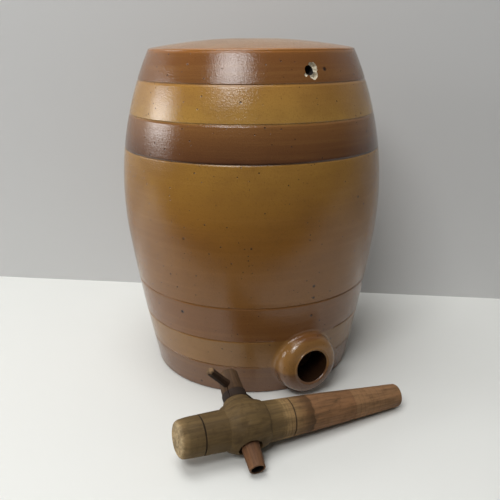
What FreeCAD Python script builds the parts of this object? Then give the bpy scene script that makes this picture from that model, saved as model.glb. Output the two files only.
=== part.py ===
"""Salt-glazed stoneware drinks barrel with a tap boss, and its loose wooden barrel tap.

All lengths are millimetres. The origin is the centre of the barrel's foot, +Z is up and
the tap boss faces -Y. The tap lies on the table in front of the barrel, as photographed.
"""
import math
import os

import FreeCAD
import Part

Vector = FreeCAD.Vector

# Barrel wall: an upper arc through the widest place and a flatter lower arc to the foot.
WIDEST_R = 140.9
WIDEST_Z = 197.0
UPPER_ARC_R = 345.0
ARC_JOIN_Z = 152.0
FOOT_R = 112.2
WALL = 9.5
LEAST_BULGE = 0.32
BASE_THICKNESS = 12.0
FOOT_EASE = 3.0
FLOOR_EASE = 9.0
LIP_HEIGHT = 346.0
DOME_EDGE_R = 102.5
DOME_EDGE_Z = 349.6
APEX_Z = 355.5
SHOULDER_BULGE = Vector(105.6, 0, 348.6)
INNER_TOP_Z = 332.0
CROWN_EASE = 8.5
ABOVE_TAP_HOLE_Z = 58.0
MID_LOWER_Z = 104.5
BELOW_VENT_Z = 320.0

# Lines scored into the wet clay on the wheel, by height, and their cut. The low ones stop at the boss.
WALL_LINES = (104.5, 246.9, 281.7, 315.5, 343.6)
BOSS_LINES = (33.3, 65.0)
LINE_HALF_WIDTH = 1.5
LINE_DEPTH = 0.75

# How far cutting shapes run past what they cut, and how closely edges are matched.
OVERLAP = 1.0
HOLE_START = 80.0
HOLE_REACH = 80.0
SEAM_TOLERANCE = 0.02
RIM_TOLERANCE = 0.1

# Boss that the tap drives into, its axis level and facing -Y.
BOSS_Z = 37.0
BOSS_R = 32.6
BOSS_ROOT_Y = 96.0
BOSS_CHEEK_Y = 121.5
BOSS_MOUTH_Y = 138.6
BOSS_LIP_R = 20.4
BOSS_LIP_STEP = 0.9
BOSS_LIP_EASE = 0.8
BOSS_CHEEK_OUT = 3.4
BOSS_CHEEK_SHARE = 0.66
BOSS_FILLET = 5.0
TAP_HOLE_R = 17.3
TAP_HOLE_EASE = 1.2

# Small air hole above the boss, with the glaze chipped off beside it.
VENT_X = 1.0
VENT_Z = 327.0
VENT_R = 4.4
CHIP_BALL_R = 7.0
CHIPS = ((4.6, 4.4, 1.7), (4.0, -4.3, 1.5))

# Filling hole in the crown.
FILLER_R = 25.0
FILLER_ROUND = 3.0

# Tap body, turned about its own X axis, with x = 0 where the key crosses it.
BUTT_X = -63.2
TIP_X = 168.7
BUTT_FACE_R = 13.6
BUTT_R = 17.4
BUTT_ROUND = 5.2
NECK_R = 18.4
SWELL_R = 24.6
SWELL_HALF = 17.5
SWELL_CREST_X = -1.0
SWELL_FOOT = 2.0
SWELL_BUTT_STEP = 1.7
SWELL_TIP_STEP = 2.4
SHANK_R = 19.0
SEAT_X = 64.0
SEAT_R = 17.4
TIP_R = 11.6
TIP_EASE = 1.2
WATERWAY_R = 4.75
WATERWAY_START_X = 16.0
INLET_R = 4.0
BUTT_GROOVE_X = -42.0
SHANK_GROOVE_X = 44.6
GROOVE_DEPTH = 1.1
SCORE_XS = (34.0, 37.0, 40.0)
SCORE_DEPTH = 0.3
VEE_SLOPE = 0.75

# Socket through the body for the key. z runs along the key from the spout to the head.
KEY_LEAN = 4.4
COLLAR_BASE_R = 17.0
COLLAR_R = 12.8
COLLAR_FOOT_Z = 14.0
COLLAR_TOP_Z = 25.4
COUNTERSINK_R = 11.0
COUNTERSINK_MOUTH_R = 13.0
COUNTERSINK_Z = -18.0

# Key: a hollow taper plug that turns in the socket, with its spout below.
SPOUT_Z = -42.5
SPOUT_R = 7.2
PLUG_TOP_R = 10.8
PLUG_TOP_Z = 26.0
RUNNING_GAP = 0.06
SPOUT_BORE_R = 5.6
SPOUT_BORE_TOP_Z = 6.0
PORT_R = 4.5
BAND_R = 11.7
BAND_TOP_Z = 35.0
HEAD_FOOT_R = 11.1
HEAD_TOP_R = 10.0
HEAD_TOP_Z = 58.0
HEAD_ROUND = 2.2
BAND_EASE = 0.9
SPLIT_ROOT_X = 5.5
SPLIT_WIDTH = 1.1
SPLIT_END_WIDTH = 0.24
SPLIT_LENGTH = 15.5

# Cross handle pushed through the head.
PEG_Z = 42.5
PEG_R = 4.1
PEG_GRIP = 0.02
PEG_LONG = 44.0
PEG_SHORT = 40.0
PEG_EASE = 0.9
KEY_TURN = 46.0

# How the tap lies on the table: where the key crosses the body, and three turns.
TAP_REST = Vector(-99.4, -182.1, 24.77)
TAP_ROLL = 25.0
TAP_DROP = 4.45
TAP_YAW = -1.45


def revolve(edges, axis_start, axis_direction):
    """Turn a closed outline once round an axis."""
    face = Part.Face(Part.Wire(edges))
    return face.revolve(axis_start, axis_direction, 360)


def line(start, end):
    """Straight edge."""
    return Part.LineSegment(start, end).toShape()


def arc(start, middle, end):
    """Round edge through three points."""
    return Part.Arc(start, middle, end).toShape()


def corner_arc(start, corner, end):
    """Quarter round that leaves start towards the corner and arrives at end."""
    middle = corner + ((start + end) / 2 - corner) * (2 - math.sqrt(2))
    return arc(start, middle, end)


def polyline(points):
    """Closed run of straight edges."""
    return [line(a, b) for a, b in zip(points, points[1:] + points[:1])]


def upper_radius(height, inset):
    """Radius of the upper wall arc, moved in by inset."""
    return WIDEST_R - UPPER_ARC_R + math.sqrt((UPPER_ARC_R - inset) ** 2 - (height - WIDEST_Z) ** 2)


def lower_arc():
    """Centre and radius of the lower wall arc, which carries on smoothly from the upper one."""
    join_r = upper_radius(ARC_JOIN_Z, 0)
    chord = math.hypot(join_r - FOOT_R, ARC_JOIN_Z)
    chord_lean = math.atan2(join_r - FOOT_R, ARC_JOIN_Z)
    join_lean = math.asin((WIDEST_Z - ARC_JOIN_Z) / UPPER_ARC_R)
    arc_r = chord / (2 * math.sin(chord_lean - join_lean))
    centre_r = join_r - arc_r * math.cos(join_lean)
    centre_z = ARC_JOIN_Z + arc_r * math.sin(join_lean)
    return centre_r, centre_z, arc_r


def join_height(inset):
    """Height where the two wall arcs meet, moved in by inset."""
    return ARC_JOIN_Z + inset * (WIDEST_Z - ARC_JOIN_Z) / UPPER_ARC_R


def wall_point(height, inset=0.0):
    """Point on the wall in the XZ plane, moved in by inset."""
    if height > join_height(inset):
        return Vector(upper_radius(height, inset), 0, height)
    centre_r, centre_z, arc_r = lower_arc()
    return Vector(centre_r + math.sqrt((arc_r - inset) ** 2 - (height - centre_z) ** 2), 0, height)


def wall_edge(low_z, high_z, inset=0.0):
    """Wall between two heights: an arc, or straight where the arc would bulge too little to tell."""
    low = wall_point(low_z, inset)
    high = wall_point(high_z, inset)
    middle = wall_point((low_z + high_z) / 2, inset)
    if middle.x - (low.x + high.x) / 2 < LEAST_BULGE:
        return line(low, high)
    return arc(low, middle, high)


def wall_run(heights, inset=0.0):
    """Wall through a rising list of heights, split where the two arcs join."""
    join_z = join_height(inset)
    stops = sorted(list(heights) + [join_z]) if heights[0] < join_z < heights[-1] else heights
    return [wall_edge(low_z, high_z, inset) for low_z, high_z in zip(stops, stops[1:])]


def scored_wall(low_z, high_z):
    """Wall from one height to another, with a V cut at each scored line."""
    edges = []
    start_z = low_z
    for height in WALL_LINES:
        lower = wall_point(height - LINE_HALF_WIDTH)
        root = wall_point(height) - Vector(LINE_DEPTH, 0, 0)
        upper = wall_point(height + LINE_HALF_WIDTH)
        edges += wall_run([start_z, lower.z])
        edges += [line(lower, root), line(root, upper)]
        start_z = upper.z
    return edges + wall_run([start_z, high_z])


def crown_point(apex_z, edge_r, edge_z, at_radius):
    """Point on a ball-shaped crown that runs from its edge circle up to the apex."""
    rise = apex_z - edge_z
    ball = (edge_r ** 2 + rise ** 2) / (2 * rise)
    return Vector(at_radius, 0, apex_z - ball + math.sqrt(ball ** 2 - at_radius ** 2))


def barrel_envelope():
    """Outside of the barrel, solid, before the boss and the holes."""
    foot = wall_point(FOOT_EASE)
    foot_inner = Vector(foot.x - FOOT_EASE, 0, 0)
    dome_edge = Vector(DOME_EDGE_R, 0, DOME_EDGE_Z)
    apex = Vector(0, 0, APEX_Z)
    edges = [line(Vector(0, 0, 0), foot_inner), line(foot_inner, foot)]
    edges += scored_wall(FOOT_EASE, LIP_HEIGHT)
    edges += [
        arc(wall_point(LIP_HEIGHT), SHOULDER_BULGE, dome_edge),
        arc(dome_edge, crown_point(APEX_Z, DOME_EDGE_R, DOME_EDGE_Z, DOME_EDGE_R / 2), apex),
        line(apex, Vector(0, 0, 0)),
    ]
    return revolve(edges, Vector(0, 0, 0), Vector(0, 0, 1))


def barrel_hollow():
    """Space inside the barrel: the wall moved in, eased at the floor and under the crown."""
    floor_z = BASE_THICKNESS
    wall_foot = wall_point(floor_z + FLOOR_EASE, WALL)
    wall_top = wall_point(INNER_TOP_Z, WALL)
    floor_edge = Vector(wall_foot.x - FLOOR_EASE, 0, floor_z)
    apex = Vector(0, 0, APEX_Z - WALL)
    crown_edge = wall_top + Vector(-CROWN_EASE, 0, CROWN_EASE)
    edges = [
        line(Vector(0, 0, floor_z), floor_edge),
        line(floor_edge, wall_foot),
    ]
    edges += wall_run([wall_foot.z, ABOVE_TAP_HOLE_Z, MID_LOWER_Z, BELOW_VENT_Z, wall_top.z], WALL)
    edges += [
        line(wall_top, crown_edge),
        line(crown_edge, apex),
        line(apex, Vector(0, 0, floor_z)),
    ]
    return revolve(edges, Vector(0, 0, 0), Vector(0, 0, 1))


def boss_blank():
    """Rounded collar of clay, turned about the level tap axis."""
    def at(radius, reach):
        return Vector(radius, -reach, BOSS_Z)
    cheek = BOSS_MOUTH_Y - BOSS_CHEEK_Y
    mouth_r = BOSS_LIP_R - BOSS_LIP_EASE
    shoulder_r = (BOSS_R + BOSS_LIP_R) / 2 + BOSS_CHEEK_OUT
    shoulder = at(shoulder_r, BOSS_CHEEK_Y + cheek * BOSS_CHEEK_SHARE)
    edges = [
        line(at(0, BOSS_ROOT_Y), at(BOSS_R, BOSS_ROOT_Y)),
        line(at(BOSS_R, BOSS_ROOT_Y), at(BOSS_R, BOSS_CHEEK_Y)),
        arc(at(BOSS_R, BOSS_CHEEK_Y), shoulder, at(BOSS_LIP_R, BOSS_MOUTH_Y - BOSS_LIP_STEP)),
        line(at(BOSS_LIP_R, BOSS_MOUTH_Y - BOSS_LIP_STEP), at(mouth_r, BOSS_MOUTH_Y)),
        line(at(mouth_r, BOSS_MOUTH_Y), at(0, BOSS_MOUTH_Y)),
        line(at(0, BOSS_MOUTH_Y), at(0, BOSS_ROOT_Y)),
    ]
    return revolve(edges, Vector(0, 0, BOSS_Z), Vector(0, 1, 0))


def on_boss_seam(edge):
    """Whether an edge lies both on the wall and round the boss, where the two meet."""
    middle = edge.valueAt((edge.FirstParameter + edge.LastParameter) / 2)
    across = math.hypot(middle.x, middle.z - BOSS_Z)
    if middle.y > -BOSS_ROOT_Y or across > BOSS_R + OVERLAP:
        return False
    return abs(math.hypot(middle.x, middle.y) - wall_point(middle.z).x) < SEAM_TOLERANCE


def forward_cylinder(radius, x, z):
    """Level cylinder that runs forward out of the barrel through its front wall."""
    return Part.makeCylinder(radius, HOLE_REACH, Vector(x, -HOLE_START, z), Vector(0, -1, 0))


def boss_line_cutter(height):
    """Ring that scores one of the low lines, kept off the boss."""
    wall = wall_point(height)
    slope = LINE_DEPTH / LINE_HALF_WIDTH
    outside = wall + Vector(OVERLAP, 0, 0)
    half = LINE_HALF_WIDTH + OVERLAP / slope
    points = [
        wall - Vector(LINE_DEPTH, 0, 0),
        outside + Vector(0, 0, half),
        outside - Vector(0, 0, half),
    ]
    ring = revolve(polyline(points), Vector(0, 0, 0), Vector(0, 0, 1))
    keep_off = forward_cylinder(BOSS_R + BOSS_FILLET, 0, BOSS_Z)
    return ring.cut(keep_off)


def vent_cutters():
    """The air hole, and a shallow bite for each chip in the glaze beside it."""
    cutters = [forward_cylinder(VENT_R, VENT_X, VENT_Z)]
    for across, up, bite in CHIPS:
        reach = wall_point(VENT_Z + up).x + CHIP_BALL_R - bite
        cutters.append(Part.makeSphere(CHIP_BALL_R, Vector(VENT_X + across, -reach, VENT_Z + up)))
    return cutters


def rim_edges(body, centre, radius):
    """Edges that run once round a centre point at a radius."""
    found = []
    for edge in body.Edges:
        full_turn = abs(edge.Length - 2 * math.pi * radius) < RIM_TOLERANCE
        if full_turn and edge.CenterOfMass.distanceToPoint(centre) < RIM_TOLERANCE:
            found.append(edge)
    return found


def stoneware_barrel():
    """Barrel with its boss blended in, then the hollow, the holes and the low lines."""
    body = barrel_envelope().fuse(boss_blank())
    seam = [edge for edge in body.Edges if on_boss_seam(edge)]
    body = body.makeFillet(BOSS_FILLET, seam)
    body = body.cut(barrel_hollow())
    body = body.cut(forward_cylinder(TAP_HOLE_R, 0, BOSS_Z))
    filler_reach = APEX_Z + WALL - INNER_TOP_Z
    body = body.cut(Part.makeCylinder(FILLER_R, filler_reach, Vector(0, 0, INNER_TOP_Z)))
    rim_z = crown_point(APEX_Z, DOME_EDGE_R, DOME_EDGE_Z, FILLER_R).z
    body = body.makeFillet(FILLER_ROUND, rim_edges(body, Vector(0, 0, rim_z), FILLER_R))
    mouth = rim_edges(body, Vector(0, -BOSS_MOUTH_Y, BOSS_Z), TAP_HOLE_R)
    body = body.makeChamfer(TAP_HOLE_EASE, mouth)
    for cutter in vent_cutters():
        body = body.cut(cutter)
    for height in BOSS_LINES:
        body = body.cut(boss_line_cutter(height))
    return body


def tap_outline():
    """Half outline of the tap body in its XZ plane, from the butt to the tip."""
    def at(x, radius):
        return Vector(x, 0, radius)
    swell_foot = SWELL_HALF + SWELL_FOOT
    butt_step = at(-SWELL_HALF, NECK_R + SWELL_BUTT_STEP)
    tip_step = at(SWELL_HALF, NECK_R + SWELL_TIP_STEP)
    edges = [
        line(at(BUTT_X, 0), at(BUTT_X, BUTT_FACE_R)),
        corner_arc(at(BUTT_X, BUTT_FACE_R), at(BUTT_X, BUTT_R), at(BUTT_X + BUTT_ROUND, BUTT_R)),
        line(at(BUTT_X + BUTT_ROUND, BUTT_R), at(-swell_foot, NECK_R)),
        line(at(-swell_foot, NECK_R), butt_step),
        arc(butt_step, at(SWELL_CREST_X, SWELL_R), tip_step),
        line(tip_step, at(swell_foot, SHANK_R)),
        line(at(swell_foot, SHANK_R), at(SEAT_X, SEAT_R)),
        line(at(SEAT_X, SEAT_R), at(TIP_X - TIP_EASE, TIP_R)),
        line(at(TIP_X - TIP_EASE, TIP_R), at(TIP_X, TIP_R - TIP_EASE)),
        line(at(TIP_X, TIP_R - TIP_EASE), at(TIP_X, 0)),
        line(at(TIP_X, 0), at(BUTT_X, 0)),
    ]
    return edges


def tap_radius(x):
    """Radius of the straight lengths of the tap body, for the lines cut into them."""
    if x < 0:
        start, end = (BUTT_X + BUTT_ROUND, BUTT_R), (-SWELL_HALF - SWELL_FOOT, NECK_R)
    elif x < SEAT_X:
        start, end = (SWELL_HALF + SWELL_FOOT, SHANK_R), (SEAT_X, SEAT_R)
    else:
        start, end = (SEAT_X, SEAT_R), (TIP_X - TIP_EASE, TIP_R)
    share = (x - start[0]) / (end[0] - start[0])
    return start[1] + share * (end[1] - start[1])


def vee_ring(x, depth):
    """Ring that cuts one V-shaped line round the tap body."""
    radius = tap_radius(x)
    outside = radius + OVERLAP
    half = VEE_SLOPE * (depth + OVERLAP)
    points = [Vector(x - half, 0, outside), Vector(x, 0, radius - depth), Vector(x + half, 0, outside)]
    return revolve(polyline(points), Vector(0, 0, 0), Vector(1, 0, 0))


def taper(low_z, low_r, high_z, high_r):
    """Cone frustum standing on the key's axis."""
    return Part.makeCone(low_r, high_r, high_z - low_z, Vector(0, 0, low_z), Vector(0, 0, 1))


def key_frame():
    """Place of the key in the tap: +Z to the head, +X along the short arm of the peg."""
    lean = math.radians(KEY_LEAN)
    turn = math.radians(KEY_TURN)
    head = Vector(math.sin(lean), math.cos(lean), 0)
    along = Vector(math.cos(lean), -math.sin(lean), 0)
    arm = along * -math.cos(turn) + Vector(0, 0, math.sin(turn))
    rotation = FreeCAD.Rotation(arm, head.cross(arm), head, "ZXY")
    return FreeCAD.Placement(Vector(0, 0, 0), rotation)


def tap_frame():
    """Place of the tap in the row: as it lies on the table."""
    roll = FreeCAD.Rotation(Vector(1, 0, 0), TAP_ROLL)
    drop = FreeCAD.Rotation(Vector(0, 1, 0), TAP_DROP)
    yaw = FreeCAD.Rotation(Vector(0, 0, 1), TAP_YAW)
    return FreeCAD.Placement(TAP_REST, yaw * drop * roll)


def tap_body():
    """Turned beech tap body with its socket, collar, countersink and waterway."""
    body = revolve(tap_outline(), Vector(0, 0, 0), Vector(1, 0, 0))
    collar = taper(COLLAR_FOOT_Z, COLLAR_BASE_R, COLLAR_TOP_Z, COLLAR_R)
    socket = taper(SPOUT_Z, SPOUT_R + RUNNING_GAP, PLUG_TOP_Z, PLUG_TOP_R + RUNNING_GAP)
    countersink = taper(SPOUT_Z, COUNTERSINK_MOUTH_R, COUNTERSINK_Z, COUNTERSINK_R)
    place = key_frame()
    for shape in (collar, socket, countersink):
        shape.Placement = place
    body = body.fuse(collar)
    body = body.cut(vee_ring(BUTT_GROOVE_X, GROOVE_DEPTH))
    body = body.cut(vee_ring(SHANK_GROOVE_X, GROOVE_DEPTH))
    for x in SCORE_XS:
        body = body.cut(vee_ring(x, SCORE_DEPTH))
    reach = TIP_X + OVERLAP - WATERWAY_START_X
    waterway = Part.makeCylinder(WATERWAY_R, reach, Vector(WATERWAY_START_X, 0, 0), Vector(1, 0, 0))
    inlet = Part.makeCylinder(INLET_R, WATERWAY_START_X + OVERLAP, Vector(0, 0, 0), Vector(1, 0, 0))
    for cutter in (waterway, inlet, socket, countersink):
        body = body.cut(cutter)
    return body


def key_outline():
    """Half outline of the key in its XZ plane, from the spout to the head."""
    def at(radius, height):
        return Vector(radius, 0, height)
    corners = [
        at(0, SPOUT_Z),
        at(SPOUT_R, SPOUT_Z),
        at(PLUG_TOP_R, PLUG_TOP_Z),
        at(BAND_R, PLUG_TOP_Z + BAND_EASE),
        at(BAND_R, BAND_TOP_Z - BAND_EASE),
        at(HEAD_FOOT_R, BAND_TOP_Z),
        at(HEAD_TOP_R, HEAD_TOP_Z - HEAD_ROUND),
    ]
    edges = [line(start, end) for start, end in zip(corners, corners[1:])]
    edges += [
        corner_arc(corners[-1], at(HEAD_TOP_R, HEAD_TOP_Z), at(HEAD_TOP_R - HEAD_ROUND, HEAD_TOP_Z)),
        line(at(HEAD_TOP_R - HEAD_ROUND, HEAD_TOP_Z), at(0, HEAD_TOP_Z)),
        line(at(0, HEAD_TOP_Z), at(0, SPOUT_Z)),
    ]
    return edges


def split_cutter():
    """Wedge for the crack that runs down the head and the band from the peg hole."""
    top = PEG_Z - PEG_R + OVERLAP
    bottom = top - SPLIT_LENGTH
    mouth = SPLIT_WIDTH / 2
    end = SPLIT_END_WIDTH / 2
    points = [
        Vector(SPLIT_ROOT_X, -mouth, top),
        Vector(SPLIT_ROOT_X, mouth, top),
        Vector(SPLIT_ROOT_X, end, bottom),
        Vector(SPLIT_ROOT_X, -end, bottom),
    ]
    return Part.Face(Part.Wire(polyline(points))).extrude(Vector(BAND_R, 0, 0))


def tap_key():
    """Key turned from one stick, bored for the spout, ported at the side and split at the head."""
    key = revolve(key_outline(), Vector(0, 0, 0), Vector(0, 0, 1))
    spout = Part.makeCylinder(SPOUT_BORE_R, SPOUT_BORE_TOP_Z - SPOUT_Z, Vector(0, 0, SPOUT_Z))
    port = Part.makeCylinder(PORT_R, PLUG_TOP_R + OVERLAP, Vector(0, 0, 0), Vector(-1, 0, 0))
    peg_hole = Part.makeCylinder(PEG_R, 4 * BAND_R, Vector(-2 * BAND_R, 0, PEG_Z), Vector(1, 0, 0))
    for cutter in (spout, port, peg_hole, split_cutter()):
        key = key.cut(cutter)
    return key


def tap_handle():
    """Round peg through the head with eased ends, the longer arm on the side of the key's port."""
    radius = PEG_R + PEG_GRIP
    peg = Part.makeCylinder(radius, PEG_LONG + PEG_SHORT, Vector(-PEG_LONG, 0, PEG_Z), Vector(1, 0, 0))
    ends = [edge for edge in peg.Edges if edge.Length < 2 * math.pi * radius + OVERLAP]
    return peg.makeChamfer(PEG_EASE, ends)


def main():
    """Build every piece in its place and write it out."""
    os.makedirs("parts", exist_ok=True)
    tap_place = tap_frame()
    key_place = tap_place * key_frame()
    body = tap_body()
    key = tap_key()
    handle = tap_handle()
    body.Placement = tap_place
    key.Placement = key_place
    handle.Placement = key_place
    pieces = {
        "stoneware_barrel": stoneware_barrel(),
        "tap_body": body,
        "tap_key": key,
        "tap_handle": handle,
    }
    for name, shape in pieces.items():
        solids = shape.Solids
        print(name, "solids", len(solids), "valid", shape.isValid(), "volume", round(shape.Volume))
        Part.Compound(solids).exportStep("parts/" + name + ".step")
    print("tap tip", tap_place.multVec(Vector(TIP_X, 0, 0)))
    print("spout mouth", key_place.multVec(Vector(0, 0, SPOUT_Z)))
    print("key axis", key_place.Rotation.multVec(Vector(0, 0, 1)))


main()
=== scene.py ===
"""Looks of a salt-glazed stoneware drinks barrel and its loose wooden barrel tap.

Lengths are metres in the frame of the model: the barrel stands on the origin, +Z is up and
the tap boss faces -Y. Colours are written as they would be mixed for print, 0 to 255.
"""
import math

import bmesh
import bpy
from mathutils import Matrix, Vector, noise


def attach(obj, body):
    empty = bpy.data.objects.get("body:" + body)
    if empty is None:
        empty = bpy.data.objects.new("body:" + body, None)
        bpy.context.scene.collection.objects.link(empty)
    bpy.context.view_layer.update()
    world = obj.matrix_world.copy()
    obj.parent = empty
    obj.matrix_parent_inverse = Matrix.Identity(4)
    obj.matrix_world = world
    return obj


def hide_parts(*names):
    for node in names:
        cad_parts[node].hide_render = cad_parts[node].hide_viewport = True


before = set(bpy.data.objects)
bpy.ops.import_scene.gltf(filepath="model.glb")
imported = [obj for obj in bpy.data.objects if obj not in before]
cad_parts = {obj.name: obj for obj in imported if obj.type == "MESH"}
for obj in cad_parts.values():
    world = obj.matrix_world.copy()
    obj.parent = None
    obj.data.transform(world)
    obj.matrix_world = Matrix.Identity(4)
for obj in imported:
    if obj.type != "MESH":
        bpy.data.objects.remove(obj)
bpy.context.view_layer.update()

MM = 0.001

# Heights on the barrel where its colour changes, from foot to crown.
LOW_LINE_Z = 0.0333
BOSS_LINE_Z = 0.065
BELLY_LINE_Z = 0.1045
BAND_FOOT_Z = 0.2469
BAND_TOP_Z = 0.2817
SHOULDER_BAND_Z = 0.3155
LIP_LINE_Z = 0.3436
CROWN_Z = 0.35569

# Barrel wall: an upper arc through the widest place and a flatter lower arc to the foot.
WIDEST_R = 0.1409
WIDEST_Z = 0.197
UPPER_ARC_R = 0.345
ARC_JOIN_Z = 0.152
LOWER_ARC_R = 2.082455
LOWER_CENTRE_R = -1.926712
LOWER_CENTRE_Z = 0.423625
WALL = 0.0095
FLOOR_Z = 0.012
FOOT_EASE = 0.003
INNER_FOOT_Z = 0.021
INNER_TOP_Z = 0.332
LIP_Z = 0.3446
SHOULDER = (0.1066, 0.3456)
DOME_R = 0.1035
DOME_Z = 0.3464
BUNG_R = 0.025
BUNG_ROUND = 0.003
UNDER_CROWN = ((0.06, 0.3425), (0.0944, 0.3392), (0.0995, 0.3360))
COLUMNS = 288
WALL_STEP = 0.0026

# Scored lines by height, with how far each cut runs below and above its root.
SCORED_LINES = (
    (LOW_LINE_Z, 0.0010, 0.0010), (BOSS_LINE_Z, 0.0012, 0.0010), (BELLY_LINE_Z, 0.0014, 0.0009),
    (BAND_FOOT_Z, 0.0009, 0.0018), (BAND_TOP_Z, 0.0018, 0.0009), (SHOULDER_BAND_Z, 0.0018, 0.0009),
    (LIP_LINE_Z, 0.0010, 0.0010),
)
LINE_DEPTH = 0.00075
LIP_LINE_SHARE = 0.3
LINE_CLEAR = 0.0032
LOW_LINES_UNDER = 0.07
ON_WALL = 0.00003
LINE_RINGS = (-2.4, -1.8, -1.4, -1.0, -0.6, -0.25, 0.0, 0.25, 0.6, 0.9, 1.2, 1.8, 2.4)

# Boss round the tap hole: a rounded collar of clay on a level axis that faces -Y.
BOSS_Z = 0.037
BOSS_R = 0.0326
BOSS_ROOT = 0.096
BOSS_CHEEK = 0.1215
BOSS_SHOULDER = (0.0299, 0.1328)
BOSS_LIP_R = 0.0204
BOSS_LIP_REACH = 0.1377
BOSS_BLEND = 0.0042
BOSS_PATCH_R = 0.043
BOSS_COLUMNS = 144
LEAST_Z = 0.0006

# Opening in the wall for the boss: room round it outside and in, and what stays untouched.
OUTER_ROOM = 0.0025
INNER_ROOM = 0.004
FRONT_Y = -0.06
UNDERSIDE_Z = 0.0001
FLOOR_KEEP_Z = 0.0125
TAP_HOLE_R = 0.0173
BOSS_MOUTH = (
    (0.0202, 0.1379), (0.0199, 0.1384), (0.0196, 0.1386), (0.0190, 0.1385), (0.0182, 0.1380),
    (0.0175, 0.1372), (TAP_HOLE_R, 0.1364), (TAP_HOLE_R, 0.1300), (TAP_HOLE_R, 0.1220), (TAP_HOLE_R, 0.1140),
)

# Air hole and the flakes lost beside it: across, up, size of the lump and its bite.
VENT_X = 0.001
VENT_Z = 0.327
VENT_R = 0.0044
VENT_CHIPS = (
    (0.0046, 0.0044, 0.0070, 0.0017), (0.0046, -0.0030, 0.0064, 0.0014), (-0.0042, -0.0032, 0.0028, 0.0006),
)

# How the tap lies: where the key crosses the body, and its roll, drop and yaw.
TAP_REST = Vector((-0.0994, -0.1821, 0.02477))
TAP_ROLL = math.radians(25.0)
TAP_DROP = math.radians(4.45)
TAP_YAW = math.radians(-1.45)
KEY_LEAN = math.radians(4.4)
KEY_TURN = math.radians(46.0)

# Tap body along its own axis, from the butt to the tip, with 0 where the key crosses it.
BUTT_X = -0.0632
TIP_X = 0.1687
BUTT_FACE_R = 0.0136
BUTT_R = 0.0174
BUTT_ROUND = 0.0052
NECK_R = 0.0184
SWELL_HALF = 0.0175
SWELL_FOOT_X = 0.0195
SWELL_CREST = (0.0246, -0.001)
BUTT_STEP_R = 0.0201
TIP_STEP_R = 0.0208
SHANK_R = 0.019
SEAT_X = 0.064
SEAT_R = 0.0174
TIP_R = 0.0116
TIP_EASE = 0.0012
WATERWAY_R = 0.00475
WATERWAY_START_X = 0.016
INLET_R = 0.004
TAP_STEP = 0.0009
TAP_COLUMNS = 144
FACETS = 13

# Depths of wear in old wood: broad hollows, raised grain and knocks.
HOLLOWS = 0.00022
RAISED_GRAIN = 0.00012
KNOCKS = 0.0016

# Lines turned round the tap body: where, how deep, and half their width.
TAP_LINES = (
    (-0.042, 0.0011, 0.0009), (0.034, 0.0003, 0.0004), (0.037, 0.0003, 0.0004), (0.040, 0.0003, 0.0004),
    (0.0446, 0.0011, 0.0009), (0.111, 0.0003, 0.0004), (0.1175, 0.00025, 0.0004), (0.1225, 0.00025, 0.0004),
    (0.1275, 0.0002, 0.0004), (0.133, 0.00025, 0.0004), (0.1405, 0.0003, 0.0004), (0.147, 0.0002, 0.0004),
)

# Collar and socket of the key, with height along the key from spout to head.
COLLAR_FOOT = (0.017, 0.014)
COLLAR_TOP = (0.0128, 0.0254)
COUNTERSINK_MOUTH = (0.013, -0.0425)
COUNTERSINK_TOP = (0.011, -0.018)
SPOUT_Z = -0.0425
SPOUT_R = 0.0072
PLUG_TOP = (0.0108, 0.026)
RUNNING_GAP = 0.00006
SPOUT_BORE_R = 0.0056
SPOUT_BORE_TOP_Z = 0.006
PORT_R = 0.0045
BAND_R = 0.0117
BAND_FOOT = 0.0269
BAND_HEAD = 0.0341
HEAD_FOOT = (0.0111, 0.035)
HEAD_TOP_R = 0.010
HEAD_TOP_Z = 0.058
HEAD_ROUND = 0.0022
SPLIT_TOP_Z = 0.0394
SPLIT_FOOT_Z = 0.0239
SPLIT_ROOT_X = 0.0055
SPLIT_MOUTH = 0.00055
SPLIT_TIP = 0.00012

# Peg through the head.
PEG_Z = 0.0425
PEG_R = 0.00412
PEG_HOLE_R = 0.0041
PEG_LONG = 0.044
PEG_SHORT = 0.040
PEG_EASE = 0.0009
PEG_FACETS = 7

# Camera, as it stood for the photograph, which is 500 pixels square.
CAMERA_PLACE = Vector((-0.3008, -0.6043, 0.3498))
CAMERA_AIM = Vector((0.4193, 0.8493, -0.3203))
CAMERA_ROLL = math.radians(-0.303)
CAMERA_LENS = 43.9
SENSOR = 36.0

# Brightness of the empty space past the shelf, as the camera sees it.
BACKDROP = 0.62

# Lamps: name, place, the point each looks at, width, height and watts. Then the light all round.
LAMPS = (
    ("skylight", (-1.06, -0.96, 1.56), (-0.06, -0.09, 0.25), 0.85, 0.5, 19.0),
    ("window", (-1.70, 0.80, 0.70), (-0.12, -0.04, 0.28), 0.8, 0.5, 11.0),
    ("ceiling", (-0.35, -0.05, 1.9), (-0.05, -0.1, 0.1), 1.1, 1.1, 20.0),
)
AIR_STRENGTH = 0.1

# Shelf and wall behind the barrel: how far behind its axis, and how they run.
WALL_YAW = math.radians(-33.8)
WALL_BEHIND = 0.18
WALL_HEIGHT = 2.2
SHELF_DEPTH = 0.485
ROOM_WIDTH = 4.0


def paint(red, green, blue):
    """A print colour of 0 to 255 as the linear colour that a shader takes."""
    parts = []
    for value in (red, green, blue):
        share = value / 255
        parts.append(share / 12.92 if share <= 0.04045 else ((share + 0.055) / 1.055) ** 2.4)
    return (*parts, 1.0)


def key_turn():
    """How the key stands in the tap: z to the head, x along the short arm of the peg."""
    head = Vector((math.sin(KEY_LEAN), math.cos(KEY_LEAN), 0))
    along = Vector((math.cos(KEY_LEAN), -math.sin(KEY_LEAN), 0))
    arm = along * -math.cos(KEY_TURN) + Vector((0, 0, math.sin(KEY_TURN)))
    return Matrix((arm, head.cross(arm), head)).transposed().to_4x4()


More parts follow.
